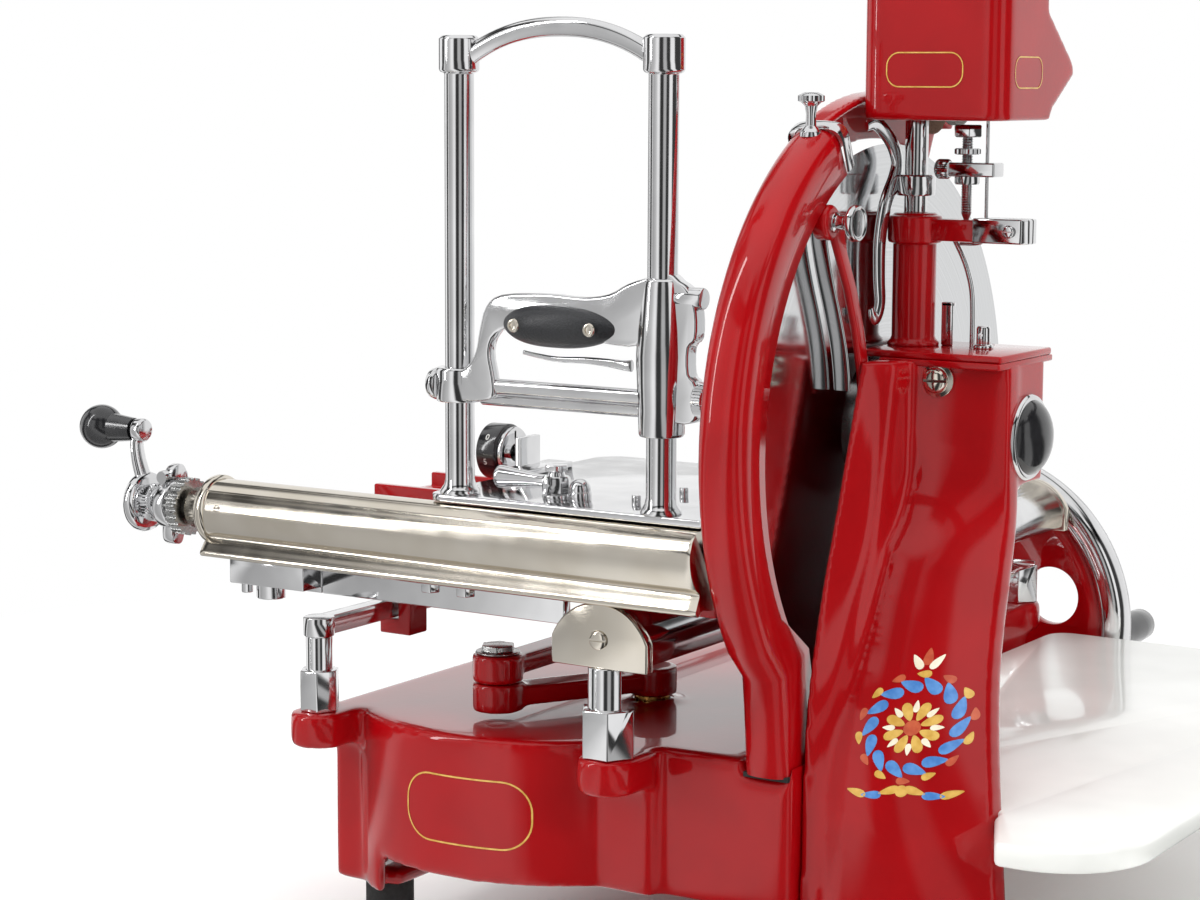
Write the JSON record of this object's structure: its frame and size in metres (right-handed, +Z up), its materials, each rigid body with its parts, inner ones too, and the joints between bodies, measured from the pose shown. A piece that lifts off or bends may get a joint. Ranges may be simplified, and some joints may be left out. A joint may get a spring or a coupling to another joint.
{
  "type": "hand crank meat slicer",
  "caption": "Flywheel meat slicer with a sliding carriage, fed meat table, press tower, guarded round blade, sharpener hood and slice tray.",
  "frame": {"origin": "centre of the whole part's footprint, on the plane under the rubber feet", "axes": "+X from the feed crank through the blade to the slice tray, +Y along the carriage travel towards the flywheel, +Z up"},
  "size_m": [0.765, 0.815, 0.659],
  "materials": {
    "red_enamel": "glossy red stove enamel",
    "chrome": "polished chrome",
    "nickel": "polished nickel",
    "blade_steel": "mirror polished hardened steel",
    "bright_steel": "ground steel",
    "gear_steel": "oiled machine steel",
    "bronze": "oiled bearing bronze",
    "black_gloss": "black polished moulding",
    "black_grain": "black crackle finish",
    "rubber_black": "black rubber",
    "tray_white": "white enamel",
    "stone_brown": "bonded abrasive",
    "stone_grey": "fine bonded abrasive"
  },
  "bodies": {
    "frame": {"base_casting": "red_enamel", "rubber_feet": "rubber_black", "column_housing": "red_enamel", "sharpener_pillar": "red_enamel", "column_fittings": "chrome", "body_screws": "chrome", "bearing_dome": "black_gloss", "blade_bearings": "gear_steel", "blade_guard": "red_enamel", "rear_guard": "red_enamel", "guard_fittings": "chrome", "slice_deflector": "chrome", "main_rail": "chrome", "rail_end_caps": "nickel", "rail_posts": "chrome", "guide_rail": "chrome", "shaft_bushes": "bronze", "drive_chain": "gear_steel", "slice_tray": "tray_white"},
    "flywheel_body": {"flywheel": "red_enamel", "flywheel_shaft": "bright_steel", "drive_gears": "gear_steel"},
    "handle_body": {"handle_grip": "black_gloss"},
    "crank_body": {"crank_arm": "red_enamel", "crank_gear": "gear_steel", "crank_pin": "bright_steel"},
    "rod_body": {"connecting_rod": "red_enamel"},
    "cross_body": {"cross_shaft": "gear_steel", "drive_sprocket": "gear_steel"},
    "blade_body": {"blade": "blade_steel", "blade_face_plate": "chrome", "blade_shaft": "bright_steel", "blade_sprocket": "gear_steel"},
    "carriage_body": {"carriage_plate": "red_enamel", "front_crossbar": "chrome", "apron_brackets": "chrome", "feed_housing": "nickel", "carriage_pins": "bright_steel"},
    "roller_body": {"guide_roller": "bright_steel"},
    "feed_body": {"feed_screw": "bright_steel", "feed_crank": "chrome"},
    "feed_knob_body": {"feed_knob": "black_gloss"},
    "pawl_body": {"pawl_arm": "chrome"},
    "table_body": {"product_table": "chrome", "table_slides": "bright_steel", "feed_nut": "bronze", "press_tower": "chrome", "table_fittings": "chrome"},
    "dial_body": {"thickness_dial": "black_gloss"},
    "clamp_body": {"clamp_lever": "chrome"},
    "press_body": {"press_frame": "chrome", "press_grip": "black_grain"},
    "trigger_body": {"press_trigger": "chrome"},
    "lock_body": {"press_lock_knob": "chrome"},
    "sharpener_body": {"sharpener_hood": "red_enamel", "sharpener_shaft": "chrome", "sharpener_spindles": "bright_steel", "hood_fittings": "chrome"},
    "grinding_body": {"grinding_stone": "stone_brown"},
    "honing_body": {"honing_stone": "stone_grey"}
  },
  "joints": [
    {"name": "flywheel_spin", "type": "hinge", "parent": "frame", "child": "flywheel_body", "pos_m": [-0.0005, 0.2895, 0.145], "axis": [0, 1, 0], "continuous": true},
    {"name": "handle_spin", "type": "hinge", "parent": "flywheel_body", "child": "handle_body", "pos_m": [0.11066, 0.3515, 0.13135], "axis": [0, 1, 0], "continuous": true},
    {"name": "crank_spin", "type": "hinge", "parent": "frame", "child": "crank_body", "pos_m": [-0.0005, -0.2285, 0.15], "axis": [0, 0, 1], "continuous": true},
    {"name": "rod_swing", "type": "hinge", "parent": "crank_body", "child": "rod_body", "pos_m": [-0.0595, -0.3295, 0.2], "axis": [0, 0, 1], "continuous": true},
    {"name": "cross_shaft_spin", "type": "hinge", "parent": "frame", "child": "cross_body", "pos_m": [0.1505, -0.1885, 0.145], "axis": [1, 0, 0], "continuous": true},
    {"name": "blade_spin", "type": "hinge", "parent": "frame", "child": "blade_body", "pos_m": [0.1705, -0.1885, 0.366], "axis": [1, 0, 0], "continuous": true},
    {"name": "carriage_slide", "type": "slide", "parent": "frame", "child": "carriage_body", "axis": [0, 1, 0], "range_m": [-0.04, 0.212]},
    {"name": "guide_roller_spin", "type": "hinge", "parent": "carriage_body", "child": "roller_body", "pos_m": [-0.1715, -0.2905, 0.243], "axis": [1, 0, 0], "continuous": true},
    {"name": "feed_screw_turn", "type": "hinge", "parent": "carriage_body", "child": "feed_body", "pos_m": [-0.1495, -0.3745, 0.298], "axis": [1, 0, 0], "range_deg": [0, 5760]},
    {"name": "table_feed", "type": "slide", "parent": "carriage_body", "child": "table_body", "axis": [1, 0, 0], "range_m": [-0.16, 0]},
    {"name": "feed_knob_spin", "type": "hinge", "parent": "feed_body", "child": "feed_knob_body", "pos_m": [-0.3495, -0.3745, 0.348], "axis": [1, 0, 0], "continuous": true},
    {"name": "pawl_arm_swing", "type": "hinge", "parent": "carriage_body", "child": "pawl_body", "pos_m": [-0.3015, -0.3745, 0.298], "axis": [1, 0, 0], "range_deg": [0, 30]},
    {"name": "dial_turn", "type": "hinge", "parent": "table_body", "child": "dial_body", "pos_m": [-0.0995, -0.2565, 0.337], "axis": [1, 0, 0], "range_deg": [0, 300]},
    {"name": "clamp_lever_turn", "type": "hinge", "parent": "table_body", "child": "clamp_body", "pos_m": [0.0025, -0.3535, 0.335], "axis": [0, 0, 1], "range_deg": [-40, 40]},
    {"name": "press_slide", "type": "slide", "parent": "table_body", "child": "press_body", "axis": [0, 0, 1], "range_m": [-0.038, 0.12]},
    {"name": "trigger_swing", "type": "hinge", "parent": "press_body", "child": "trigger_body", "pos_m": [0.0675, -0.3755, 0.417], "axis": [0, 1, 0], "range_deg": [0, 4], "stiffness_Nm_per_rad": 0.5},
    {"name": "press_lock_turn", "type": "hinge", "parent": "press_body", "child": "lock_body", "pos_m": [0.1105, -0.3695, 0.398], "axis": [1, 0, 0], "continuous": true},
    {"name": "sharpener_lift", "type": "slide", "parent": "frame", "child": "sharpener_body", "axis": [0, 0, 1], "range_m": [0, 0.05]},
    {"name": "grinding_stone_spin", "type": "hinge", "parent": "sharpener_body", "child": "grinding_body", "pos_m": [0.1645, -0.1565, 0.579], "axis": [1, 0, 0], "continuous": true},
    {"name": "honing_stone_spin", "type": "hinge", "parent": "sharpener_body", "child": "honing_body", "pos_m": [0.1885, -0.1625, 0.581], "axis": [1, 0, 0], "continuous": true}
  ],
  "couplings": [
    {"joint": "crank_spin", "follows": "flywheel_spin", "ratio": 1},
    {"joint": "rod_swing", "follows": "flywheel_spin", "ratio": -1},
    {"joint": "cross_shaft_spin", "follows": "flywheel_spin", "ratio": -1},
    {"joint": "blade_spin", "follows": "flywheel_spin", "ratio": -1.5},
    {"joint": "table_feed", "follows": "feed_screw_turn", "m_per_rad": -0.0015915}
  ]
}
